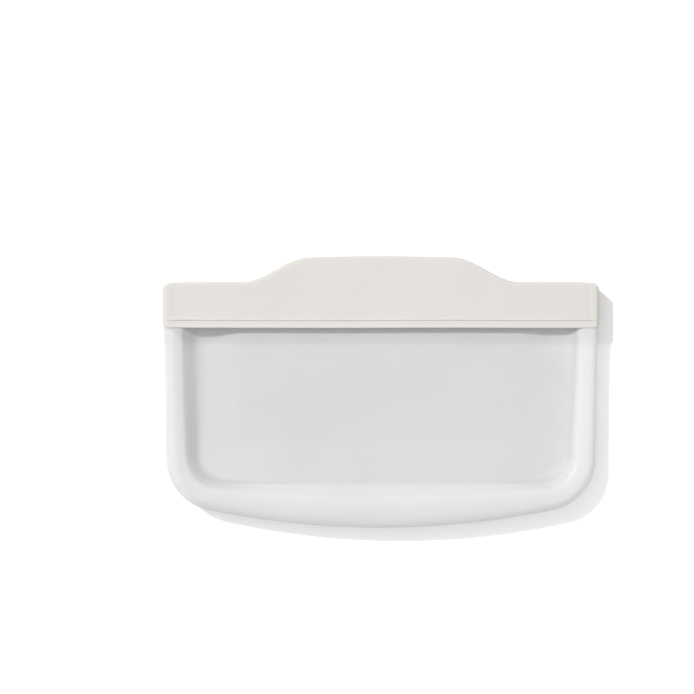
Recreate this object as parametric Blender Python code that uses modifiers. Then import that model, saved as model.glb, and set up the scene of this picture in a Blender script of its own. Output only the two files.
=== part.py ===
"""Reusable silicone bag, snack size: a translucent pouch with a press-to-close rim.

The bag lies flat on its back.  X runs along the rim, +Y from the bottom gusset
to the mouth, and +Z from the back wall to the front wall.  The origin is under
the middle of the bag, on the surface that it lies on.

The pouch is a flat back wall, a flat front wall set lower than the rim, and a
puffed gusset that runs down one side, round the bottom and up the other side.
The rim is a thick back lip and a thick front lip, each with a pull tab, joined
by a weld at each end and closed by two ribs that press into two grooves.
The front wall and front lip swing open about the foot of the front wall.
"""

import math

import bmesh
import bpy
from mathutils import Vector

# Driving dimensions, in metres.
RIM_WIDTH = 0.190
BAG_LENGTH = 0.118  # bottom of the pouch to the top of the pull tabs
RIM_DEPTH = 0.0193  # the rim's size along Y beside the tabs
LIP_THICKNESS = 0.0055
WALL = 0.0013  # silicone thickness of the pouch
CLEARANCE = 0.0003  # between neighbouring solids
HINGE_CLEARANCE = 0.0005  # round the front wall, which swings

# The pull tabs: humps on the top edge of both lips.
TAB_RISE = 0.0116
TAB_FOOT = 0.060  # distance from the middle at which a tab starts to rise
TAB_SHOULDER = 0.030  # and at which it is fully up
TAB_CROWN = 0.0005  # how far its top edge bows up
TAB_STEPS = 28

# The rim.
RIM_HEIGHT = 2 * LIP_THICKNESS + CLEARANCE
RIM_TOP = BAG_LENGTH / 2 - TAB_RISE
RIM_BOTTOM = RIM_TOP - RIM_DEPTH
END_WELD = 0.005
WELD_INNER = RIM_WIDTH / 2 - END_WELD
LIP_HALF = WELD_INNER - CLEARANCE
TOP_CORNER = 0.0032
BOTTOM_CORNER = 0.0025
EDGE_ROUNDING = 0.0006
LEDGE_DEPTH = 0.0032  # strip along the front lip's lower edge, set lower
LEDGE_STEP = 0.0004

# The press seal: ribs on the back lip, grooves in the front lip.
RIB_WIDTH = 0.0018
RIB_HEIGHT = 0.0016
RIB_HALF = 0.086
GROOVE_ROOM = 0.0004  # beside and above a rib
SEAL_RIBS = (("lower_seal_rib", 0.0075), ("upper_seal_rib", 0.0135))  # above RIM_BOTTOM

# The pouch outline: slightly tapered sides, round corners, a slack bottom arc.
POUCH_TOP = RIM_BOTTOM - CLEARANCE
SIDE_HALF_TOP = 0.0946
SIDE_HALF_LOW = 0.0936
CORNER_RADIUS = 0.023
BOTTOM_RADIUS = 0.377
BOTTOM_CENTRE = Vector((0.0, BOTTOM_RADIUS - BAG_LENGTH / 2))
CORNER_X = SIDE_HALF_LOW - CORNER_RADIUS
CORNER_DROP = math.sqrt((BOTTOM_RADIUS - CORNER_RADIUS) ** 2 - CORNER_X**2)
CORNER_CENTRE = Vector((CORNER_X, BOTTOM_CENTRE.y - CORNER_DROP))
BOTTOM_HALF_ANGLE = math.asin(CORNER_X / (BOTTOM_RADIUS - CORNER_RADIUS))

# The foot line, where the flat walls meet the gusset.
FOOT_HALF = 0.0794
FOOT_BOTTOM = -0.0403
FOOT_CORNER = 0.006
FOOT_CENTRE = Vector((FOOT_HALF - FOOT_CORNER, FOOT_BOTTOM + FOOT_CORNER))
FOOT_CORNER_STEPS = 6
FOOT_SIDE = POUCH_TOP - FOOT_CENTRE.y
FOOT_ARC = FOOT_CORNER * math.pi / 2
# Length along the foot line that faces the ends of the outline's side, corner and bottom.
FOOT_LENGTHS = (
    0.0,
    POUCH_TOP - CORNER_CENTRE.y,
    FOOT_SIDE + FOOT_ARC,
    FOOT_SIDE + FOOT_ARC + FOOT_CENTRE.x,
)

# The gusset's section, at the rim and at the middle of the bottom.
FRONT_WALL_TOP = 0.0076  # outer face of the front wall
CROWN = (0.0108, 0.0155)  # height of the gusset
SHOULDER = (0.0060, 0.0100)  # outline to crown, across the gusset
SLOPE = (0.0054, 0.0062)  # crown to foot line, across the gusset
CROWN_FLAT = 0.0005  # least width of the crown
WIDEST_SHARE = 0.46  # height of the outline, as a share of the crown
BACK_ROUNDING = 0.0055
SLOPE_STEPS = 4
ROUNDING_STEPS = 5

# Lengths of gusset on each side: name, start and end along the outline, steps.
SIDE_LENGTHS = (
    ("side_gusset", 0.0, 0.997, 5),
    ("corner_gusset", 1.012, 1.988, 7),
)
BOTTOM_START = 2.003
BOTTOM_STEPS = 6  # to the middle

# The axis that the front half swings about.
HINGE = Vector((0.0, FOOT_BOTTOM + HINGE_CLEARANCE, FRONT_WALL_TOP - WALL / 2))

RIM_COLOUR = (0.80, 0.775, 0.735, 1.0)
RIM_ROUGHNESS = 0.55
POUCH_COLOUR = (0.82, 0.83, 0.83, 1.0)
POUCH_ROUGHNESS = 0.35
POUCH_ALPHA = 0.6


def clear_scene():
    for old in list(bpy.data.objects):
        bpy.data.objects.remove(old, do_unlink=True)


def new_collection(name):
    collection = bpy.data.collections.new(name)
    bpy.context.scene.collection.children.link(collection)
    return collection


def silicone(name, colour, roughness, alpha=1.0):
    material = bpy.data.materials.new(name)
    material.use_nodes = True
    shader = material.node_tree.nodes["Principled BSDF"]
    shader.inputs["Base Color"].default_value = colour
    shader.inputs["Roughness"].default_value = roughness
    shader.inputs["Metallic"].default_value = 0.0
    shader.inputs["Alpha"].default_value = alpha
    return material


def rim_silicone(node):
    return silicone(node + "_silicone", RIM_COLOUR, RIM_ROUGHNESS)


def pouch_silicone(node):
    return silicone(node + "_silicone", POUCH_COLOUR, POUCH_ROUGHNESS, POUCH_ALPHA)


def mix(a, b, t):
    return a + (b - a) * t


def smooth(t):
    t = min(max(t, 0.0), 1.0)
    return t * t * (3 - 2 * t)


def steps_between(start, end, steps):
    return [mix(start, end, i / steps) for i in range(steps + 1)]


def on_circle(centre, radius, angle):
    return centre + radius * Vector((math.cos(angle), math.sin(angle)))


def arc(centre, radius, start, end, steps):
    """Points along an arc between two angles in degrees, measured from +X."""
    return [on_circle(centre, radius, math.radians(a)) for a in steps_between(start, end, steps)]


# ---- The flat pieces -------------------------------------------------------


def slab(node, outline, low, high, material, parts, rounding=0.0):
    """A flat outline made solid between two heights, with rounded edges."""
    curve = bpy.data.curves.new(node, "CURVE")
    curve.dimensions = "2D"
    curve.fill_mode = "BOTH"
    curve.extrude = (high - low) / 2 - rounding
    curve.bevel_depth = rounding
    curve.bevel_resolution = 1
    curve.offset = -rounding
    spline = curve.splines.new("POLY")
    spline.points.add(len(outline) - 1)
    for point, place in zip(spline.points, outline):
        point.co = (place.x, place.y, 0.0, 1.0)
    spline.use_cyclic_u = True
    curve.materials.append(material)
    piece = bpy.data.objects.new(node, curve)
    piece.location.z = (low + high) / 2
    parts.objects.link(piece)
    return piece


def curve_to_mesh(piece):
    """Turns a slab into a closed mesh, so that it can be cut."""
    bpy.context.view_layer.update()
    evaluated = piece.evaluated_get(bpy.context.evaluated_depsgraph_get())
    mesh = bpy.data.meshes.new_from_object(evaluated)
    work = bmesh.new()
    work.from_mesh(mesh)
    bmesh.ops.remove_doubles(work, verts=work.verts, dist=0.000001)
    work.to_mesh(mesh)
    work.free()
    node = piece.name
    collection = piece.users_collection[0]
    place = piece.matrix_world.copy()
    bpy.data.objects.remove(piece)
    solid = bpy.data.objects.new(node, mesh)
    solid.matrix_world = place
    collection.objects.link(solid)
    return solid


def box(name, low, high, collection):
    """A box between two corners."""
    bpy.ops.mesh.primitive_cube_add(size=1, location=(low + high) / 2)
    made = bpy.context.object
    made.name = name
    made.scale = high - low
    bpy.ops.object.transform_apply(location=False, rotation=False, scale=True)
    for old in list(made.users_collection):
        old.objects.unlink(made)
    collection.objects.link(made)
    return made


def cut(solid, cutter):
    cutter.hide_render = True
    cutter.display_type = "WIRE"
    boolean = solid.modifiers.new(cutter.name, "BOOLEAN")
    boolean.operation = "DIFFERENCE"
    boolean.object = cutter


def tab_rise(x):
    """How far the rim's top edge stands above its level beside the tab."""
    share = smooth((TAB_FOOT - abs(x)) / (TAB_FOOT - TAB_SHOULDER))
    bow = max(0.0, 1 - (x / TAB_SHOULDER) ** 2)
    return (TAB_RISE - TAB_CROWN) * share + TAB_CROWN * bow


def lip_outline():
    """One lip between the end welds, with its pull tab."""
    points = [
        Vector((-LIP_HALF, RIM_BOTTOM)),
        Vector((LIP_HALF, RIM_BOTTOM)),
        Vector((LIP_HALF, RIM_TOP)),
    ]
    for x in steps_between(TAB_FOOT, -TAB_FOOT, TAB_STEPS):
        points.append(Vector((x, RIM_TOP + tab_rise(x))))
    points.append(Vector((-LIP_HALF, RIM_TOP)))
    return points


def end_weld_outline(side):
    """The fused end of the rim, with round outer corners."""
    low_centre = Vector((RIM_WIDTH / 2 - BOTTOM_CORNER, RIM_BOTTOM + BOTTOM_CORNER))
    top_centre = Vector((RIM_WIDTH / 2 - TOP_CORNER, RIM_TOP - TOP_CORNER))
    points = [Vector((WELD_INNER, RIM_BOTTOM))]
    points += arc(low_centre, BOTTOM_CORNER, -90, 0, 5)
    points += arc(top_centre, TOP_CORNER, 0, 90, 5)
    points.append(Vector((WELD_INNER, RIM_TOP)))
    return [Vector((side * point.x, point.y)) for point in points]


def wall_outline(clearance):
    """The area inside the foot line, drawn in by a clearance."""
    radius = FOOT_CORNER - clearance
    left_centre = Vector((-FOOT_CENTRE.x, FOOT_CENTRE.y))
    points = [Vector((clearance - FOOT_HALF, POUCH_TOP))]
    points += arc(left_centre, radius, 180, 270, FOOT_CORNER_STEPS)
    points += arc(FOOT_CENTRE, radius, 270, 360, FOOT_CORNER_STEPS)
    points.append(Vector((FOOT_HALF - clearance, POUCH_TOP)))
    return points


def build_walls(parts):
    back = wall_outline(CLEARANCE / 2)
    slab("back_wall", back, 0.0, WALL, pouch_silicone("back_wall"), parts)
    front = wall_outline(HINGE_CLEARANCE)
    low = FRONT_WALL_TOP - WALL
    return slab("front_wall", front, low, FRONT_WALL_TOP, pouch_silicone("front_wall"), parts)


def build_back_rim(parts):
    """The back lip, the ribs on it and the welds at the rim's ends."""
    lip = lip_outline()
    slab("back_lip", lip, 0.0, LIP_THICKNESS, rim_silicone("back_lip"), parts, EDGE_ROUNDING)
    for side, name in ((-1, "left_end_weld"), (1, "right_end_weld")):
        outline = end_weld_outline(side)
        slab(name, outline, 0.0, RIM_HEIGHT, rim_silicone(name), parts, EDGE_ROUNDING)
    for name, offset in SEAL_RIBS:
        low = Vector((-RIB_HALF, RIM_BOTTOM + offset, LIP_THICKNESS + CLEARANCE))
        high = low + Vector((2 * RIB_HALF, RIB_WIDTH, RIB_HEIGHT))
        rib = box(name, low, high, parts)
        rib.data.materials.append(rim_silicone(name))


def build_front_lip(parts, cutters):
    """The front lip, with a groove over each rib and a ledge along its lower edge."""
    inner_face = LIP_THICKNESS + CLEARANCE
    material = rim_silicone("front_lip")
    flat = slab("front_lip", lip_outline(), inner_face, RIM_HEIGHT, material, parts, EDGE_ROUNDING)
    lip = curve_to_mesh(flat)
    for name, offset in SEAL_RIBS:
        low = Vector((-LIP_HALF - WALL, RIM_BOTTOM + offset - GROOVE_ROOM, inner_face - WALL))
        high = Vector((
            LIP_HALF + WALL,
            RIM_BOTTOM + offset + RIB_WIDTH + GROOVE_ROOM,
            inner_face + RIB_HEIGHT + GROOVE_ROOM,
        ))
        cut(lip, box(name + "_groove", low, high, cutters))
    low = Vector((-LIP_HALF - WALL, RIM_BOTTOM - WALL, RIM_HEIGHT - LEDGE_STEP))
    high = Vector((LIP_HALF + WALL, RIM_BOTTOM + LEDGE_DEPTH, RIM_HEIGHT + WALL))
    cut(lip, box("front_ledge", low, high, cutters))
    return lip


# ---- The gusset ------------------------------------------------------------


def gusset_outer(s):
    """The pouch outline on the +X side.  s runs from 0 at the rim to 1 at the foot
    of the side, to 2 at the end of the corner and to 3 at the middle of the bottom."""
    if s <= 1:
        x = mix(SIDE_HALF_TOP, SIDE_HALF_LOW, s)
        return Vector((x, mix(POUCH_TOP, CORNER_CENTRE.y, s)))
    if s <= 2:
        turn = (1 - s) * (math.pi / 2 - BOTTOM_HALF_ANGLE)
        return on_circle(CORNER_CENTRE, CORNER_RADIUS, turn)
    turn = (3 - s) * BOTTOM_HALF_ANGLE - math.pi / 2
    return on_circle(BOTTOM_CENTRE, BOTTOM_RADIUS, turn)


def gusset_foot(s):
    """The point of the foot line that faces the outline at s."""
    span = min(int(s), 2)
    length = mix(FOOT_LENGTHS[span], FOOT_LENGTHS[span + 1], s - span)
    if length <= FOOT_SIDE:
        return Vector((FOOT_HALF, POUCH_TOP - length))
    if length <= FOOT_SIDE + FOOT_ARC:
        return on_circle(FOOT_CENTRE, FOOT_CORNER, (FOOT_SIDE - length) / FOOT_CORNER)
    return Vector((FOOT_LENGTHS[3] - length, FOOT_BOTTOM))


def gusset_section(width, s):
    """The outer surface across the gusset, as pairs of distance in from the outline
    and height: from the front foot, over the crown and round to the back foot."""
    share = smooth(s / 3)
    crown = mix(*CROWN, share)
    widest = WIDEST_SHARE * crown
    crown_end = width - mix(*SLOPE, share)
    shoulder = min(mix(*SHOULDER, share), crown_end - CROWN_FLAT)
    points = []
    for t in steps_between(0, 1, SLOPE_STEPS):
        points.append((mix(width, crown_end, t), mix(FRONT_WALL_TOP, crown, smooth(t))))
    for turn in steps_between(0, math.pi / 2, ROUNDING_STEPS):
        across = shoulder * (1 - math.sin(turn))
        points.append((across, mix(widest, crown, math.cos(turn))))
    for turn in steps_between(0, math.pi / 2, ROUNDING_STEPS)[1:]:
        across = BACK_ROUNDING * (1 - math.cos(turn))
        points.append((across, widest * (1 - math.sin(turn))))
    points.append((width, 0.0))
    return points


def gusset_row(s, side):
    """The section at s, placed on the +X side of the bag or, with side -1, on the other."""
    outer = gusset_outer(s)
    across = gusset_foot(s) - outer
    width = across.length - CLEARANCE / 2
    inward = across.normalized()
    row = []
    for distance, height in gusset_section(width, s):
        place = outer + inward * distance
        row.append((side * place.x, place.y, height))
    return row


def gusset_shell(node, rows, parts):
    """A sheet through the rows of points, thickened inwards."""
    across = len(rows[0])
    points = [point for row in rows for point in row]
    faces = []
    for r in range(len(rows) - 1):
        for c in range(across - 1):
            corner = r * across + c
            faces.append((corner, corner + across, corner + across + 1, corner + 1))
    mesh = bpy.data.meshes.new(node)
    mesh.from_pydata(points, [], faces)
    mesh.shade_smooth()
    mesh.materials.append(pouch_silicone(node))
    shell = bpy.data.objects.new(node, mesh)
    parts.objects.link(shell)
    wall = shell.modifiers.new("wall", "SOLIDIFY")
    wall.thickness = WALL
    wall.offset = -1.0
    wall.use_even_offset = True


def build_gusset(parts):
    """The puffed edge of the pouch: two sides, two corners and the bottom."""
    for side, label in ((1, "right_"), (-1, "left_")):
        for name, start, end, steps in SIDE_LENGTHS:
            rows = [gusset_row(s, side) for s in steps_between(start, end, steps)]
            gusset_shell(label + name, rows[::side], parts)
    stations = steps_between(BOTTOM_START, 3.0, BOTTOM_STEPS)
    rows = [gusset_row(s, 1) for s in stations]
    rows += [gusset_row(s, -1) for s in stations[-2::-1]]
    gusset_shell("bottom_gusset", rows, parts)


# ---- The bag ---------------------------------------------------------------


def hang_on_hinge(pieces, parts):
    """Parents the pieces that swing to an empty on the hinge axis."""
    hinge = bpy.data.objects.new("mouth_hinge", None)
    hinge.location = HINGE
    parts.objects.link(hinge)
    for piece in pieces:
        piece.parent = hinge
        piece.location -= HINGE


def main():
    clear_scene()
    parts = new_collection("reusable_silicone_bag")
    cutters = new_collection("cutters")
    build_gusset(parts)
    build_back_rim(parts)
    front_wall = build_walls(parts)
    front_lip = build_front_lip(parts, cutters)
    hang_on_hinge((front_wall, front_lip), parts)


main()
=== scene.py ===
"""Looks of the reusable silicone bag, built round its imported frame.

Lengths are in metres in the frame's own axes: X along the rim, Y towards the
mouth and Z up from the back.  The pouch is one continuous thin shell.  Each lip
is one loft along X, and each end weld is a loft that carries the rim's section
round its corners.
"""

import math

import bmesh
import bpy
import numpy as np
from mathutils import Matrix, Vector, noise


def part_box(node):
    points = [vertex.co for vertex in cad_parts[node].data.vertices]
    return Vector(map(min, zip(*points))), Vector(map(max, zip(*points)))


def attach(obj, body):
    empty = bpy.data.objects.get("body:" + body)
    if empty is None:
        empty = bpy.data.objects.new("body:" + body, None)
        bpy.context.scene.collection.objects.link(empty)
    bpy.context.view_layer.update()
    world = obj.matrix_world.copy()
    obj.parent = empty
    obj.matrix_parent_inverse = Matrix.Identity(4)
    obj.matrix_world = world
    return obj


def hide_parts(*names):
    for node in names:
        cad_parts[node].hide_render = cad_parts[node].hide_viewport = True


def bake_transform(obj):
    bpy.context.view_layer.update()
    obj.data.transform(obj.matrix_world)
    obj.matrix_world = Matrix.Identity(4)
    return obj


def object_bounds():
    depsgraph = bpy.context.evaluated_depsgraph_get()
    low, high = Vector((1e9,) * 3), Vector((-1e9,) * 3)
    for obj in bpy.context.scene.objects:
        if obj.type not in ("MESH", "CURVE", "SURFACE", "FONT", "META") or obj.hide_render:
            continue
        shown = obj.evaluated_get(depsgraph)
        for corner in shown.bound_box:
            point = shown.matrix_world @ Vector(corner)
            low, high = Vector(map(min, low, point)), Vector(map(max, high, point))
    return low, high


MM = 0.001

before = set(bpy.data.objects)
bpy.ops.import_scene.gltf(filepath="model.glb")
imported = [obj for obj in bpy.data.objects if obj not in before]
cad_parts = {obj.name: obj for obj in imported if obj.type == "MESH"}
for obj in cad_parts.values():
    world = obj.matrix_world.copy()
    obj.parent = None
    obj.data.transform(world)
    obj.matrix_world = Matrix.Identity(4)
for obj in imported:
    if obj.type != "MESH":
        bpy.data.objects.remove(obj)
cad_low, cad_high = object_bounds()

# ---- Places, from the frame ------------------------------------------------

weld_low, weld_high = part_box("right_end_weld")
front_low, front_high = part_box("front_lip")
panel_low, panel_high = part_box("front_wall")
back_wall_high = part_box("back_wall")[1]

RIM_HALF = weld_high.x
RIM_BOTTOM = weld_low.y
RIM_TOP = weld_high.y
RIM_FRONT = weld_high.z
WELD_INNER = weld_low.x
FRONT_LIP_INNER = front_low.z
BACK_LIP_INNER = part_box("back_lip")[1].z
TAB_TOP = front_high.y
WALL = back_wall_high.z
PANEL_TOP = panel_high.z

# ---- The pouch outline and its gusset --------------------------------------

POUCH_TOP = back_wall_high.y
POUCH_BOTTOM = cad_low.y
SIDE_HALF_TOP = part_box("right_side_gusset")[1].x
SIDE_HALF_LOW = SIDE_HALF_TOP - 1.0 * MM
CORNER_RADIUS = 23 * MM
BOTTOM_RADIUS = 377 * MM
BOTTOM_CENTRE = Vector((0.0, POUCH_BOTTOM + BOTTOM_RADIUS))
CORNER_X = SIDE_HALF_LOW - CORNER_RADIUS
CORNER_DROP = math.sqrt((BOTTOM_RADIUS - CORNER_RADIUS) ** 2 - CORNER_X**2)
CORNER_CENTRE = Vector((CORNER_X, BOTTOM_CENTRE.y - CORNER_DROP))
BOTTOM_HALF_ANGLE = math.asin(CORNER_X / (BOTTOM_RADIUS - CORNER_RADIUS))

# The foot of the gusset, where it meets the front wall: a rectangle with round
# lower corners, and the distances along it that face the ends of the outline's spans.
FOOT_HALF = 76.2 * MM
FOOT_BOTTOM = -37.2 * MM
FOOT_CORNER = 9.5 * MM
FOOT_CENTRE = Vector((FOOT_HALF - FOOT_CORNER, FOOT_BOTTOM + FOOT_CORNER))
FOOT_SIDE = POUCH_TOP - FOOT_CENTRE.y
FOOT_ARC = FOOT_CORNER * math.pi / 2
FOOT_LENGTHS = (
    0.0,
    POUCH_TOP - CORNER_CENTRE.y,
    FOOT_SIDE + FOOT_ARC,
    FOOT_SIDE + FOOT_ARC + FOOT_CENTRE.x,
)

# Pairs are for the side of the gusset and for the middle of the bottom.
CROWN = (11.0 * MM, cad_high.z)
RIM_SQUARING = 2.6 * MM  # how much fuller its outer edge is where it leaves the rim
RIM_SQUARING_LENGTH = 7 * MM
SHOULDER = (4.4 * MM, 11.0 * MM)
SHOULDER_SQUARENESS = (2.5, 1.75)
WIDER_RIGHT = 1.1 * MM  # the right side lies a little wider and flatter than the left
FLATTER_RIGHT = 0.8
MILK_AND_GLOW_START = (0.34, 0.82)  # where on the slope, from the shoulder, the milkiness and painted glow start
MILK_AND_GLOW_END = (0.19, 0.64)  # and where they are full
WIDEST_SHARE = (0.53, 0.70)  # height of its widest place, as a share of the crown's
BACK_ROUNDING = 5.5 * MM

# Tables with -1 and 1 are for the left and for the right side.
CROWN_MILK_AND_GLOW = {-1: 0.33, 1: 1.0}  # build-up of the crown, which the material turns into milkiness; the right side's higher value is painted glow of light passing through the silicone, the left side's lower one painted shade
BOTTOM_CROWN_MILK_AND_GLOW = 0.75
# How steeply the slope falls to the wall: (share of the way from the shoulder, steepness).
STEEPNESS = {
    -1: ((0.0, 0.04), (0.21, 0.16), (0.30, 1.0), (0.62, 1.0), (0.76, 0.40), (0.89, 0.13), (1.0, 0.0)),
    1: ((0.0, 0.04), (0.21, 0.50), (0.30, 1.0), (0.60, 0.16), (0.68, 0.10), (0.78, 0.06), (1.0, 0.03)),
}
FALL_STEPS = 201
FOOT_TURN = 1.4  # length, in s, of the change from the side's slope to the bottom's

# The front wall dips to the side gussets, more so beside the rim, and climbs to the
# bottom one.
SIDE_DIP = {-1: 1.6 * MM, 1: 0.3 * MM}
RIM_DIP = 1.6 * MM
RIM_DIP_REACH = 15 * MM  # down from the rim
DIP_REACH = 16 * MM  # in from a side gusset
DIP_FADE = 20 * MM  # the dip fades out over this length above the bottom gusset
BOTTOM_CLIMB = 3.4 * MM
CLIMB_REACH = 17 * MM  # up from the bottom gusset
CLIMB_FADE = 30 * MM  # the climb fades out over this length beside the side gussets
LEVEL_REACH = 2 * MM  # the wall is level again where it enters the rim

TUCK = 2 * MM  # length of pouch held inside the rim
TUCK_RISE = 0.4 * MM  # so that the tucked back wall is not in the lip's face
TUCK_RISE_LENGTH = 0.6 * MM

# The slackness of the front wall: soft waves all over, and finer wrinkles along X in
# a band above the bottom gusset. Counts are waves per metre along X and along Y.
WAVE_HEIGHT = 0.22 * MM
WAVE_COUNTS = (24, 30)
WAVE_SEED = 3.0
WAVE_FADE = 6 * MM
WRINKLE_HEIGHT = 0.20 * MM
WRINKLE_COUNTS = (26, 150)
WRINKLE_SEED = 9.0
WRINKLE_BAND = 20 * MM
WRINKLE_FADE = 12 * MM
WRINKLE_START = 3 * MM

SIDE_STEPS = 20
CORNER_STEPS = 16
BOTTOM_STEPS = 44
RING_STEPS = 12
SLOPE_STEPS = 18
ROUNDING_STEPS = 14
BACK_STEPS = 4
RING_CROWDING = 1.5  # the rings on the front wall lie closer together near the gusset

CORE_HALF = 48 * MM  # the even grid in the middle of each wall
CORE_BOTTOM = -14 * MM


def mix(a, b, t):
    return a + (b - a) * t


def smooth(t):
    """From 0 to 1 along a soft S, and level outside."""
    t = min(max(t, 0.0), 1.0)
    return t * t * (3 - 2 * t)


def steps_between(start, end, steps):
    return [mix(start, end, i / steps) for i in range(steps + 1)]


def on_circle(centre, radius, angle):
    return centre + radius * Vector((math.cos(angle), math.sin(angle)))


def outline_point(s):
    """The pouch outline on the +X side: s is 0 at the rim, 1 at the foot of the
    side, 2 at the end of the corner and 3 at the middle of the bottom."""
    if s <= 1:
        x = mix(SIDE_HALF_TOP, SIDE_HALF_LOW, max(s, 0.0))
        return Vector((x, mix(POUCH_TOP, CORNER_CENTRE.y, s)))
    if s <= 2:
        return on_circle(CORNER_CENTRE, CORNER_RADIUS, (1 - s) * (math.pi / 2 - BOTTOM_HALF_ANGLE))
    return on_circle(BOTTOM_CENTRE, BOTTOM_RADIUS, (3 - s) * BOTTOM_HALF_ANGLE - math.pi / 2)


def foot_point(s):
    """The point of the line where wall and gusset meet that faces the outline at s."""
    span = min(max(int(s), 0), 2)
    length = mix(FOOT_LENGTHS[span], FOOT_LENGTHS[span + 1], s - span)
    if length <= FOOT_SIDE:
        return Vector((FOOT_HALF, POUCH_TOP - length))
    if length <= FOOT_SIDE + FOOT_ARC:
        return on_circle(FOOT_CENTRE, FOOT_CORNER, (FOOT_SIDE - length) / FOOT_CORNER)
    return Vector((FOOT_LENGTHS[3] - length, FOOT_BOTTOM))


def foot_share(s):
    """How far the foot of the gusset has turned from its side shape to its bottom one."""
    return smooth((s - 1) / FOOT_TURN)


def wall_height(place):
    """Height of the front wall, which dips beside the side gussets and climbs to
    the bottom one, and does neither at the rim and in the corners."""
    side = -1 if place.x < 0 else 1
    from_side = FOOT_HALF - abs(place.x)
    from_bottom = place.y - FOOT_BOTTOM
    from_rim = RIM_BOTTOM - place.y
    dip = SIDE_DIP[side] + RIM_DIP * (1 - smooth(from_rim / RIM_DIP_REACH))
    dip *= (1 - smooth(from_side / DIP_REACH)) * smooth(from_bottom / DIP_FADE)
    climb = BOTTOM_CLIMB * (1 - smooth(from_bottom / CLIMB_REACH)) * smooth(from_side / CLIMB_FADE)
    return PANEL_TOP + (climb - dip) * smooth(from_rim / LEVEL_REACH)


def fall_table(side):
    """How much of the gusset's fall is done, at even steps of the way to its foot."""
    places, values = zip(*STEEPNESS[side])
    steepness = np.interp(np.linspace(0, 1, FALL_STEPS), places, values)
    fallen = np.concatenate(([0.0], np.cumsum(steepness[1:] + steepness[:-1])))
    return fallen / fallen[-1]


FALLEN = {side: fall_table(side) for side in STEEPNESS}


def fall_share(share, side):
    """How much of the gusset's fall is done at this share of the way to its foot."""
    return float(np.interp(share, np.linspace(0, 1, FALL_STEPS), FALLEN[side]))


def gusset_section(width, s, side, foot_height):
    """Across the gusset: distance in from the outline, height, and how light the colour is, from
    milkiness and painted glow.
    """
    share = smooth(s / 3)
    from_rim = max(s, 0.0) * (POUCH_TOP - CORNER_CENTRE.y)
    crown = mix(*CROWN, share)
    widest = mix(*WIDEST_SHARE, share) * crown + RIM_SQUARING * math.exp(-from_rim / RIM_SQUARING_LENGTH)
    right = (1 - share) * max(side, 0)
    # The right side's higher value here is painted glow, the left side's lower one painted shade.
    crown_milk_and_glow = mix(CROWN_MILK_AND_GLOW[side], BOTTOM_CROWN_MILK_AND_GLOW, foot_share(s))
    # Over the outer rounding the colour darkens, except on the right side, where it stays light as
    # painted glow.
    outer_fade = share if side > 0 else 1.0
    shoulder = mix(*SHOULDER, share) + WIDER_RIGHT * right
    round_off = 2 / (mix(*SHOULDER_SQUARENESS, share) + FLATTER_RIGHT * right)
    fade_from = mix(*MILK_AND_GLOW_START, share)
    fade_to = mix(*MILK_AND_GLOW_END, share)
    points = []
    for t in steps_between(1, 0, SLOPE_STEPS):
        milk_and_glow = crown_milk_and_glow * smooth((fade_from - t) / (fade_from - fade_to))
        height = mix(crown, foot_height, mix(fall_share(t, side), smooth(t), foot_share(s)))
        points.append((mix(shoulder, width, t), height, milk_and_glow))
    for turn in steps_between(0, math.pi / 2, ROUNDING_STEPS)[1:]:
        distance = shoulder * (1 - math.sin(turn) ** round_off)
        rise = max(math.cos(turn), 0.0) ** round_off
        points.append((distance, mix(widest, crown, rise), crown_milk_and_glow * mix(1.0, rise, outer_fade)))
    for turn in steps_between(0, math.pi / 2, ROUNDING_STEPS)[1:]:
        points.append((BACK_ROUNDING * (1 - math.cos(turn)), widest * (1 - math.sin(turn)), 0.0))
    points.append((width, 0.0, 0.0))
    return points


def pouch_row(s, side, core):
    """From the middle of the front wall, over the gusset, to the middle of the back."""
    outer = outline_point(s)
    foot = foot_point(s)
    across = foot - outer
    inward = across.normalized()
    wall_foot = Vector((side * foot.x, foot.y))
    row = [(core.x, core.y, PANEL_TOP, 0.0)]
    for t in steps_between(0, 1, RING_STEPS)[1:-1]:
        place = mix(core, wall_foot, 1 - (1 - t) ** RING_CROWDING)
        row.append((*place, wall_height(place), 0.0))
    for distance, height, milk_and_glow in gusset_section(across.length, s, side, wall_height(wall_foot)):
        place = outer + inward * distance
        row.append((side * place.x, place.y, height, milk_and_glow))
    for t in steps_between(0, 1, BACK_STEPS)[1:]:
        row.append((*mix(wall_foot, core, t), 0.0, 0.0))
    return row


def pouch_stations():
    """Places along the outline as (s, side), from the right end of the mouth to the left."""
    top = -TUCK / (POUCH_TOP - CORNER_CENTRE.y)
    half = steps_between(top, 1, SIDE_STEPS)
    half += steps_between(1, 2, CORNER_STEPS)[1:]
    half += steps_between(2, 3, BOTTOM_STEPS)[1:]
    return [(s, 1) for s in half] + [(s, -1) for s in half[-2::-1]]


STATIONS = pouch_stations()
LAST = len(STATIONS) - 1
CORE_LEG = SIDE_STEPS + CORNER_STEPS // 2  # steps down each side of the middle grid
CORE_SPAN = LAST - 2 * CORE_LEG  # steps along its bottom
MOUTH = POUCH_TOP + TUCK


def core_place(i):
    """The place on the edge of the middle grid that belongs to a station."""
    if i <= CORE_LEG:
        return Vector((CORE_HALF, mix(MOUTH, CORE_BOTTOM, i / CORE_LEG)))
    if i >= LAST - CORE_LEG:
        return Vector((-CORE_HALF, mix(MOUTH, CORE_BOTTOM, (LAST - i) / CORE_LEG)))
    return Vector((mix(CORE_HALF, -CORE_HALF, (i - CORE_LEG) / CORE_SPAN), CORE_BOTTOM))


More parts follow.
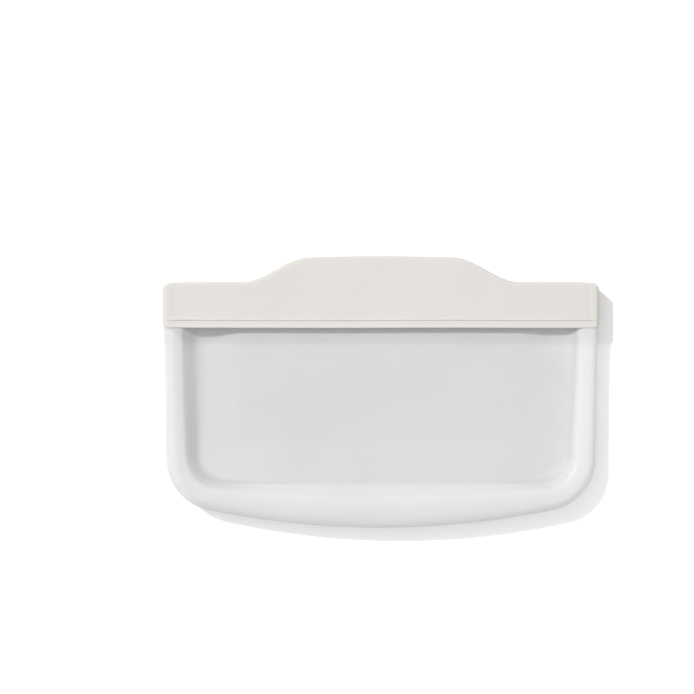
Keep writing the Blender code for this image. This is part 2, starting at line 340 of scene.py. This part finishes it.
def fill_core(points, across, column, height):
    """The quads of the even grid in the middle of a wall.  Its edge is one column of
    the rows, which are this many points across, and its inner points are added."""
    grid = {}
    for m in range(CORE_SPAN + 1):
        for j in range(CORE_LEG + 1):
            if m == 0:
                grid[m, j] = j * across + column
            elif m == CORE_SPAN:
                grid[m, j] = (LAST - j) * across + column
            elif j == CORE_LEG:
                grid[m, j] = (CORE_LEG + m) * across + column
            else:
                grid[m, j] = len(points)
                x = mix(CORE_HALF, -CORE_HALF, m / CORE_SPAN)
                points.append((x, mix(MOUTH, CORE_BOTTOM, j / CORE_LEG), height, 0.0))
    faces = []
    for m in range(CORE_SPAN):
        for j in range(CORE_LEG):
            faces.append((grid[m, j], grid[m + 1, j], grid[m + 1, j + 1], grid[m, j + 1]))
    return faces


def pouch_surface():
    """The pouch's outer skin, open at the mouth: points, quads and each point's milkiness with painted
    glow.
    """
    rows = [pouch_row(s, side, core_place(i)) for i, (s, side) in enumerate(STATIONS)]
    across = len(rows[0])
    points = [point for row in rows for point in row]
    faces = []
    for i in range(LAST):
        for c in range(across - 1):
            a = i * across + c
            faces.append((a, a + across, a + across + 1, a + 1))
    faces += fill_core(points, across, 0, PANEL_TOP)
    faces += [face[::-1] for face in fill_core(points, across, across - 1, 0.0)]
    table = np.array(points)
    return table[:, :3], faces, table[:, 3]


def slackness(x, y):
    """How far soft waves and wrinkles lift the front wall."""
    wave = noise.noise(Vector((x * WAVE_COUNTS[0], y * WAVE_COUNTS[1], WAVE_SEED)))
    wrinkle = noise.noise(Vector((x * WRINKLE_COUNTS[0], y * WRINKLE_COUNTS[1], WRINKLE_SEED)))
    band = smooth((FOOT_BOTTOM + WRINKLE_BAND - y) / WRINKLE_FADE)
    band *= smooth((y - FOOT_BOTTOM) / WRINKLE_START)
    band *= smooth((FOOT_HALF - abs(x)) / WRINKLE_FADE)
    return WAVE_HEIGHT * wave + WRINKLE_HEIGHT * band * wrinkle


def relax_pouch(points):
    """Makes the front slack and lifts the tucked back wall into the back lip."""
    for point in points:
        x, y, z = point
        if z > 2 * WALL:
            front = smooth((z - 2 * WALL) / (2 * WALL)) * smooth((RIM_BOTTOM - y) / WAVE_FADE)
            point[2] += front * slackness(x, y)
        else:
            point[2] += TUCK_RISE * smooth((y - RIM_BOTTOM) / TUCK_RISE_LENGTH)


# ---- Meshes ----------------------------------------------------------------


def new_object(name, mesh):
    made = bpy.data.objects.new(name, mesh)
    bpy.context.scene.collection.objects.link(made)
    return made


def apply_modifiers(piece):
    evaluated = piece.evaluated_get(bpy.context.evaluated_depsgraph_get())
    finished = bpy.data.meshes.new_from_object(evaluated)
    piece.modifiers.clear()
    finished.name = piece.name
    piece.data = finished


def mesh_object(name, points, faces, sharp_angle):
    mesh = bpy.data.meshes.new(name)
    mesh.from_pydata([tuple(p) for p in points], [], faces)
    mesh.shade_smooth()
    mesh.set_sharp_from_angle(angle=math.radians(sharp_angle))
    return new_object(name, mesh)


def loft(name, sections, sharp_angle=35):
    """A closed solid through loops of points, with a flat cap at each end."""
    count = len(sections[0])
    points = [p for section in sections for p in section]
    faces = []
    for i in range(len(sections) - 1):
        for c in range(count):
            a, b = i * count + c, i * count + (c + 1) % count
            faces.append((a, b, b + count, a + count))
    faces.append(tuple(range(count)))
    faces.append(tuple(range(len(points) - count, len(points))))
    mesh = bpy.data.meshes.new(name)
    mesh.from_pydata(points, [], faces)
    work = bmesh.new()
    work.from_mesh(mesh)
    bmesh.ops.recalc_face_normals(work, faces=work.faces)
    work.to_mesh(mesh)
    work.free()
    mesh.shade_smooth()
    mesh.set_sharp_from_angle(angle=math.radians(sharp_angle))
    return new_object(name, mesh)


# ---- The rim ---------------------------------------------------------------

TAB_FOOT = 60.3 * MM
TAB_SHOULDER = 31 * MM
TAB_CROWN = 0.5 * MM
EDGE_BOW = 0.3 * MM  # how far the rim's top edge swells between the tab and its ends
BOW_END = 84 * MM

BOTTOM_ROUNDING = 0.45 * MM
TOP_ROUNDING = 1.1 * MM
INNER_ROUNDING = 0.4 * MM
RIM_ARC_STEPS = 5

# The ledge along the lip's lower edge, as offset from that edge and height over the
# face: a bead on the edge, a shallow strip, and a raised line over a groove.
LEDGE = (
    (0.75 * MM, 0.09 * MM),
    (1.10 * MM, 0.01 * MM),
    (1.50 * MM, -0.07 * MM),
    (2.10 * MM, -0.11 * MM),
    (2.80 * MM, -0.12 * MM),
    (3.10 * MM, -0.13 * MM),
    (3.25 * MM, -0.02 * MM),
    (3.42 * MM, 0.18 * MM),
    (3.65 * MM, 0.24 * MM),
    (4.00 * MM, 0.18 * MM),
    (4.50 * MM, 0.06 * MM),
    (5.10 * MM, 0.0),
)
LEDGE_EDGE = 0.10 * MM  # height of the bead
FACE_STEPS = 8
LOWER_BY = 0.42 * MM  # how far the bead reaches below the CAD edge
LOWER_EDGE_WAVE = 0.15 * MM
LOWER_EDGE_COUNT = 18  # waves per metre
LOWER_EDGE_SEED = 5.0

GROOVE_ROOM = 0.4 * MM
GROOVE_LEAD = 0.25 * MM


def tab_rise(x):
    """How far the rim's top edge stands above its level beside the tab."""
    share = smooth((TAB_FOOT - abs(x)) / (TAB_FOOT - TAB_SHOULDER))
    bow = max(0.0, 1 - (x / TAB_SHOULDER) ** 2)
    return (TAB_TOP - RIM_TOP - TAB_CROWN) * share + TAB_CROWN * bow


def top_edge(x):
    """The upper edge, with the tab and a slight bow on each side of it."""
    bow = EDGE_BOW * smooth((RIM_HALF - abs(x)) / (RIM_HALF - BOW_END))
    return RIM_TOP + tab_rise(x) + bow * smooth((abs(x) - TAB_SHOULDER) / (TAB_FOOT - TAB_SHOULDER))


def bottom_edge(x):
    """The lower edge, which is not quite straight."""
    wave = noise.noise(Vector((x * LOWER_EDGE_COUNT, LOWER_EDGE_SEED, 0.0)))
    return RIM_BOTTOM - LOWER_BY + LOWER_EDGE_WAVE * wave


def quarter(centre_y, centre_z, radius, start, end):
    """A rounded edge in the YZ plane, between two angles in degrees from +Y."""
    points = []
    for angle in steps_between(math.radians(start), math.radians(end), RIM_ARC_STEPS):
        points.append((centre_y + radius * math.cos(angle), centre_z + radius * math.sin(angle)))
    return points


def rim_profile(low, high, base, face, ledge_share=1.0):
    """A section of the rim as (y, height): a flat base, and a face with the ledge."""
    points = quarter(low + INNER_ROUNDING, base + INNER_ROUNDING, INNER_ROUNDING, 270, 180)
    edge = face + LEDGE_EDGE * ledge_share - BOTTOM_ROUNDING
    points += quarter(low + BOTTOM_ROUNDING, edge, BOTTOM_ROUNDING, 180, 90)
    points += [(low + offset, face + height * ledge_share) for offset, height in LEDGE]
    face_start = low + LEDGE[-1][0]
    for t in steps_between(0, 1, FACE_STEPS)[1:-1]:
        points.append((mix(face_start, high - TOP_ROUNDING, t), face))
    points += quarter(high - TOP_ROUNDING, face - TOP_ROUNDING, TOP_ROUNDING, 90, 0)
    points += quarter(high - INNER_ROUNDING, base + INNER_ROUNDING, INNER_ROUNDING, 0, -90)
    return points


def inset(points, amount):
    """A section drawn in a little all round, for a chamfered end."""
    middle = Vector((sum(p[0] for p in points), sum(p[1] for p in points))) / len(points)
    return [
        (y + math.copysign(amount, middle.x - y), height + math.copysign(amount, middle.y - height))
        for y, height in points
    ]


def lip_profile(x, thick, grooves):
    """A lip's section as (y, height above the inner face)."""
    points = rim_profile(bottom_edge(x), top_edge(x), 0.0, thick)
    for groove_low, groove_high, depth in grooves:
        points += [
            (groove_high + GROOVE_LEAD, 0.0),
            (groove_high, GROOVE_LEAD),
            (groove_high, depth),
            (groove_low, depth),
            (groove_low, GROOVE_LEAD),
            (groove_low - GROOVE_LEAD, 0.0),
        ]
    return points


SEAM_DEPTH = 0.03 * MM  # the faint line where each lip runs into an end weld
SEAM_WIDTH = 0.35 * MM
SEAM_OVERLAP = 0.3 * MM
END_MARGIN = 1.5 * MM
FLANK_MARGIN = 4 * MM  # the closer steps go on this far past the tab's flanks
LIP_END_STEPS = 8
FLANK_STEPS = 24
TAB_STEPS = 6


def lip_stations():
    """Places along a lip, closer together on the flanks of the tab and at the ends."""
    half = [WELD_INNER, WELD_INNER - SEAM_WIDTH]
    half += steps_between(WELD_INNER - END_MARGIN, TAB_FOOT + FLANK_MARGIN, LIP_END_STEPS)
    half += steps_between(TAB_FOOT + FLANK_MARGIN / 2, TAB_SHOULDER - FLANK_MARGIN, FLANK_STEPS)
    half += steps_between(TAB_SHOULDER - 2 * FLANK_MARGIN, 0.0, TAB_STEPS)
    return [-x for x in half] + half[-2::-1]


def lip(name, inner, outer, grooves):
    """A full lip with its pull tab.  A back lip has its outer face below its inner one."""
    direction = 1 if outer > inner else -1
    sections = []
    for x in lip_stations():
        profile = lip_profile(x, abs(outer - inner), grooves)
        if abs(x) == WELD_INNER:
            profile = inset(profile, SEAM_DEPTH)
        sections.append([(x, y, inner + direction * height) for y, height in profile])
    return loft(name, sections)


RIM_END_TOP = 3.2 * MM
RIM_END_BOTTOM = 2.5 * MM
END_ROUNDING = 1.8 * MM
BACK_END_ROUNDING = 0.8 * MM
END_STEPS = 14
END_LEDGE_SHARE = 0.7  # the ledge is fainter on the end weld and dies out along it
END_SEAM_DEPTH = 1.2 * SEAM_DEPTH


def shrink(x, radius):
    """How far a corner of this radius has drawn in at x, near the end of the rim."""
    past = max(0.0, x - (RIM_HALF - radius))
    return radius - math.sqrt(max(radius**2 - past**2, 0.0))


def weld_profile(x):
    """The end weld's section, which draws in at the end of the rim."""
    low = bottom_edge(x) + shrink(x, RIM_END_BOTTOM)
    high = top_edge(x) - shrink(x, RIM_END_TOP)
    base = shrink(x, BACK_END_ROUNDING)
    face = RIM_FRONT - shrink(x, END_ROUNDING)
    ledge_share = END_LEDGE_SHARE * (1 - smooth((x - WELD_INNER) / (RIM_HALF - WELD_INNER)))
    return rim_profile(low, high, base, face, ledge_share)


def end_weld(name, side):
    """The fused end of the rim, rounded off at its corners and its end face."""
    stations = [WELD_INNER - SEAM_OVERLAP, WELD_INNER, WELD_INNER + SEAM_WIDTH]
    for turn in steps_between(0, math.pi / 2, END_STEPS):
        stations.append(RIM_HALF - RIM_END_TOP * (1 - math.sin(turn)))
    sections = []
    for x in stations:
        profile = weld_profile(x)
        if x <= WELD_INNER:
            profile = inset(profile, END_SEAM_DEPTH)
        sections.append([(side * x, y, z) for y, z in profile])
    return loft(name, sections)


RIB_CROWN = 0.7 * MM  # height of its rounded top
RIB_TAPER = 2.5 * MM
RIB_TIP = 0.3 * MM  # height at its ends
RIB_STEPS = 60
RIB_ROUNDING_STEPS = 8


def seal_rib(name, node):
    """A press rib: an upright with a rounded top and tapered ends."""
    low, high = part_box(node)
    half_width = (high.y - low.y) / 2
    middle = (high.y + low.y) / 2
    base = BACK_LIP_INNER
    sections = []
    for x in steps_between(low.x, high.x, RIB_STEPS):
        near = min(1.0, (high.x - abs(x)) / RIB_TAPER)
        height = mix(RIB_TIP, high.z - base, math.sqrt(max(near, 0.0)))
        loop = [(x, middle - half_width, base), (x, middle - half_width, base + height / 2)]
        for turn in steps_between(math.pi, 0, RIB_ROUNDING_STEPS):
            y = middle + half_width * math.cos(turn)
            loop.append((x, y, base + height - RIB_CROWN * (1 - math.sin(turn))))
        loop.append((x, middle + half_width, base + height / 2))
        loop.append((x, middle + half_width, base))
        sections.append(loop)
    return loft(name, sections)


# ---- Materials -------------------------------------------------------------

MILK_AND_GLOW = "milk_and_glow"  # the mesh attribute for how light the pouch's colour is, 0 to 1: partly a milkier moulding, partly painted glow

# Linear colours, darkest first.
WARM_WHITE = ((0.583, 0.562, 0.536), (0.599, 0.577, 0.551))
# The pouch's colours run from the wall's grey to the gusset crown's white, which is partly milkier
# moulding and partly painted glow.
MILK_AND_GLOW_COLOURS = ((0.745, 0.745, 0.742), (0.90, 0.90, 0.897))
FLOOR_WHITE = ((0.94, 0.94, 0.94), (0.95, 0.95, 0.95))

# Alpha and range of roughness of the two skins of the pouch's wall.
OUTER_SKIN = (0.54, (0.29, 0.36))
INNER_SKIN = (0.10, (0.35, 0.45))


class Shading:
    """A material's node tree, with short calls for the nodes used here."""

    def __init__(self, name):
        self.material = bpy.data.materials.new(name)
        self.material.use_nodes = True
        self.tree = self.material.node_tree
        self.shader = self.tree.nodes["Principled BSDF"]
        self.place = self.tree.nodes.new("ShaderNodeTexCoord").outputs["Object"]

    def noise(self, size, detail=2.0, roughness=0.5):
        """Cloudy noise with features of about this size."""
        node = self.tree.nodes.new("ShaderNodeTexNoise")
        node.inputs["Scale"].default_value = 1 / size
        node.inputs["Detail"].default_value = detail
        node.inputs["Roughness"].default_value = roughness
        self.tree.links.new(self.place, node.inputs["Vector"])
        return node.outputs["Fac"]

    def ramp(self, value, low, high, low_colour, high_colour):
        """A colour between two, as a value goes from low to high."""
        node = self.tree.nodes.new("ShaderNodeValToRGB")
        node.color_ramp.elements[0].position = low
        node.color_ramp.elements[0].color = (*low_colour, 1.0)
        node.color_ramp.elements[1].position = high
        node.color_ramp.elements[1].color = (*high_colour, 1.0)
        self.tree.links.new(value, node.inputs["Fac"])
        return node.outputs["Color"]

    def tinted(self, colour, value, low, high):
        """A colour made slightly darker or lighter by a noise."""
        node = self.tree.nodes.new("ShaderNodeMix")
        node.data_type = "RGBA"
        node.blend_type = "MULTIPLY"
        node.inputs["Factor"].default_value = 1.0
        self.tree.links.new(colour, node.inputs["A"])
        self.tree.links.new(self.ramp(value, 0.25, 0.75, (low,) * 3, (high,) * 3), node.inputs["B"])
        return node.outputs["Result"]

    def attribute(self, name):
        node = self.tree.nodes.new("ShaderNodeAttribute")
        node.attribute_name = name
        return node.outputs["Fac"]

    def spread(self, value, low, high):
        """A noise, whose values mostly lie between 0.3 and 0.7, as a range of values."""
        node = self.tree.nodes.new("ShaderNodeMapRange")
        node.inputs["From Min"].default_value = 0.3
        node.inputs["From Max"].default_value = 0.7
        node.inputs["To Min"].default_value = low
        node.inputs["To Max"].default_value = high
        self.tree.links.new(value, node.inputs["Value"])
        return node.outputs["Result"]

    def bump(self, value, depth, strength, before=None):
        """Relief of this depth, on top of an earlier one."""
        node = self.tree.nodes.new("ShaderNodeBump")
        node.inputs["Distance"].default_value = depth
        node.inputs["Strength"].default_value = strength
        self.tree.links.new(value, node.inputs["Height"])
        if before is not None:
            self.tree.links.new(before, node.inputs["Normal"])
        return node.outputs["Normal"]

    def set(self, name, value):
        self.shader.inputs[name].default_value = value

    def link(self, output, name):
        self.tree.links.new(output, self.shader.inputs[name])


def rim_silicone():
    """Opaque warm off-white silicone with a satin, faintly grained moulded face."""
    shading = Shading("rim_silicone")
    tint = shading.ramp(shading.noise(45 * MM, 1.0), 0.3, 0.7, *WARM_WHITE)
    shading.link(tint, "Base Color")
    shading.link(shading.spread(shading.noise(9 * MM, 1.0), 0.46, 0.56), "Roughness")
    waves = shading.bump(shading.noise(16 * MM, 0.0), 0.10 * MM, 0.5)
    grain = shading.bump(shading.noise(0.35 * MM, 1.0), 0.008 * MM, 0.5, waves)
    shading.link(grain, "Normal")
    shading.set("IOR", 1.43)
    shading.set("Subsurface Weight", 0.15)
    shading.set("Subsurface Radius", (0.0030, 0.0024, 0.0018))
    shading.set("Subsurface Scale", 1.0)
    return shading.material


def pouch_silicone(name, alpha, roughness):
    """Translucent silicone: glossy, and lighter where the gusset is built up, partly as a milkier
    moulding and partly as painted glow of light passing through it.
    """
    shading = Shading(name)
    # Painted glow: the base colour lightens where the gusset is built up, together with the milkiness of
    # the thicker moulding.
    body = shading.ramp(shading.attribute(MILK_AND_GLOW), 0.0, 1.0, *MILK_AND_GLOW_COLOURS)
    tint = shading.tinted(body, shading.noise(26 * MM, 1.0), 0.97, 1.0)
    shading.link(tint, "Base Color")
    shading.link(shading.spread(shading.noise(12 * MM, 1.0), *roughness), "Roughness")
    grain = shading.bump(shading.noise(0.8 * MM, 0.0), 0.006 * MM, 0.4)
    shading.link(grain, "Normal")
    shading.set("IOR", 1.42)
    shading.set("Alpha", alpha)
    shading.set("Specular IOR Level", 0.25)
    return shading.material


def floor_material():
    """The matt white surface that the bag lies on."""
    shading = Shading("studio_floor")
    tint = shading.ramp(shading.noise(400 * MM), 0.3, 0.7, *FLOOR_WHITE)
    shading.link(tint, "Base Color")
    shading.set("Roughness", 0.9)
    shading.set("Specular IOR Level", 0.0)
    return shading.material


# ---- Baking a piece's placement --------------------------------------------


def bend_with_mouth(piece):
    """Bakes a piece's placement into its mesh and reads its points."""
    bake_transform(piece)
    points = np.empty(len(piece.data.vertices) * 3)
    piece.data.vertices.foreach_get("co", points)


# ---- The pieces ------------------------------------------------------------


def thicken(shell):
    """Gives a skin the wall's thickness inwards, with the next material inside."""
    wall = shell.modifiers.new("wall", "SOLIDIFY")
    wall.thickness = WALL
    wall.offset = -1.0
    wall.use_even_offset = True
    wall.material_offset = 1
    apply_modifiers(shell)


def build_pouch():
    points, faces, milk_and_glow = pouch_surface()
    relax_pouch(points)
    shell = mesh_object("pouch_shell", points, faces, sharp_angle=60)
    # Each point's share of milkiness and painted glow, for the material.
    shell.data.attributes.new(MILK_AND_GLOW, "FLOAT", "POINT").data.foreach_set("value", milk_and_glow)
    shell.data.materials.append(pouch_silicone("pouch_silicone_outer", *OUTER_SKIN))
    shell.data.materials.append(pouch_silicone("pouch_silicone_inner", *INNER_SKIN))
    thicken(shell)
    bend_with_mouth(shell)
    gussets = [f"{side}_{part}_gusset" for side in ("left", "right") for part in ("side", "corner")]
    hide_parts("back_wall", "front_wall", "bottom_gusset", *gussets)


def groove_over(node):
    """The groove that takes a rib: its lower and upper edge and its depth."""
    low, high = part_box(node)
    depth = high.z - FRONT_LIP_INNER + GROOVE_ROOM
    return low.y - GROOVE_ROOM, high.y + GROOVE_ROOM, depth


def build_rim():
    silicone = rim_silicone()
    grooves = [groove_over("upper_seal_rib"), groove_over("lower_seal_rib")]
    front = lip("front_lip_with_tab", FRONT_LIP_INNER, RIM_FRONT, grooves)
    back = lip("back_lip_with_tab", BACK_LIP_INNER, 0.0, [])
    welds = [end_weld("left_rim_weld", -1), end_weld("right_rim_weld", 1)]
    ribs = [seal_rib("lower_press_rib", "lower_seal_rib"), seal_rib("upper_press_rib", "upper_seal_rib")]
    for piece in (front, back, *welds, *ribs):
        piece.data.materials.append(silicone)
    bend_with_mouth(front)
    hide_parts("front_lip")
    nodes = ("back_lip", "left_end_weld", "right_end_weld", "lower_seal_rib", "upper_seal_rib")
    for piece, node in zip((back, *welds, *ribs), nodes):
        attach(piece, "pouch")
        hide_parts(node)


# ---- Studio ----------------------------------------------------------------

FLOOR_GAP = 0.25 * MM  # room under the back wall for the back lip's raised line
FLOOR_SIZE = 6.0
CAMERA_FIELD = 301.4 * MM  # width seen at the rim's front face
CAMERA_OFFSET = Vector((-14.7 * MM, 19.5 * MM))
LENS = 100.0
SENSOR = 36.0
SUN_FROM = Vector((-0.74, 0.62, 1.0))
SUN_ENERGY = 2.16
SUN_WIDTH = 2.5  # degrees
# The sky's light by how high it comes from, from none at SKY_LOW to all at SKY_HIGH.
SKY_TOP = 1.19
SKY_LOW = 0.3
SKY_HIGH = 0.8


def build_floor():
    bpy.ops.mesh.primitive_plane_add(size=FLOOR_SIZE, location=(0, 0, -FLOOR_GAP))
    floor = bpy.context.object
    floor.name = "studio_floor"
    floor.data.materials.append(floor_material())


def build_sun():
    data = bpy.data.lights.new("key_light", "SUN")
    data.energy = SUN_ENERGY
    data.angle = math.radians(SUN_WIDTH)
    sun = new_object("key_light", data)
    sun.rotation_euler = SUN_FROM.to_track_quat("Z", "Y").to_euler()


def build_sky():
    """A soft light from above, behind a backdrop that the camera sees as plain white."""
    world = bpy.data.worlds.new("studio")
    bpy.context.scene.world = world
    world.use_nodes = True
    tree = world.node_tree
    direction = tree.nodes.new("ShaderNodeTexCoord").outputs["Generated"]
    split = tree.nodes.new("ShaderNodeSeparateXYZ")
    tree.links.new(direction, split.inputs["Vector"])
    ramp = tree.nodes.new("ShaderNodeValToRGB")
    ramp.color_ramp.elements[0].position = SKY_LOW
    ramp.color_ramp.elements[0].color = (0, 0, 0, 1)
    ramp.color_ramp.elements[1].position = SKY_HIGH
    ramp.color_ramp.elements[1].color = (SKY_TOP, SKY_TOP, SKY_TOP, 1)
    tree.links.new(split.outputs["Z"], ramp.inputs["Fac"])
    sky = tree.nodes["Background"]
    tree.links.new(ramp.outputs["Color"], sky.inputs["Color"])

    backdrop = tree.nodes.new("ShaderNodeBackground")
    backdrop.inputs["Color"].default_value = (1, 1, 1, 1)
    seen = tree.nodes.new("ShaderNodeLightPath").outputs["Is Camera Ray"]
    mixer = tree.nodes.new("ShaderNodeMixShader")
    tree.links.new(seen, mixer.inputs["Fac"])
    tree.links.new(sky.outputs["Background"], mixer.inputs[1])
    tree.links.new(backdrop.outputs["Background"], mixer.inputs[2])
    tree.links.new(mixer.outputs["Shader"], tree.nodes["World Output"].inputs["Surface"])


def build_camera():
    data = bpy.data.cameras.new("camera")
    data.lens = LENS
    data.sensor_width = SENSOR
    data.clip_start = 0.01
    data.clip_end = 20.0
    camera = new_object("camera", data)
    distance = CAMERA_FIELD * LENS / SENSOR
    camera.location = (CAMERA_OFFSET.x, CAMERA_OFFSET.y, RIM_FRONT + distance)
    bpy.context.scene.camera = camera


def main():
    build_camera()
    build_pouch()
    build_rim()
    build_floor()
    build_sun()
    build_sky()
    bpy.context.scene.view_settings.view_transform = "Standard"


main()
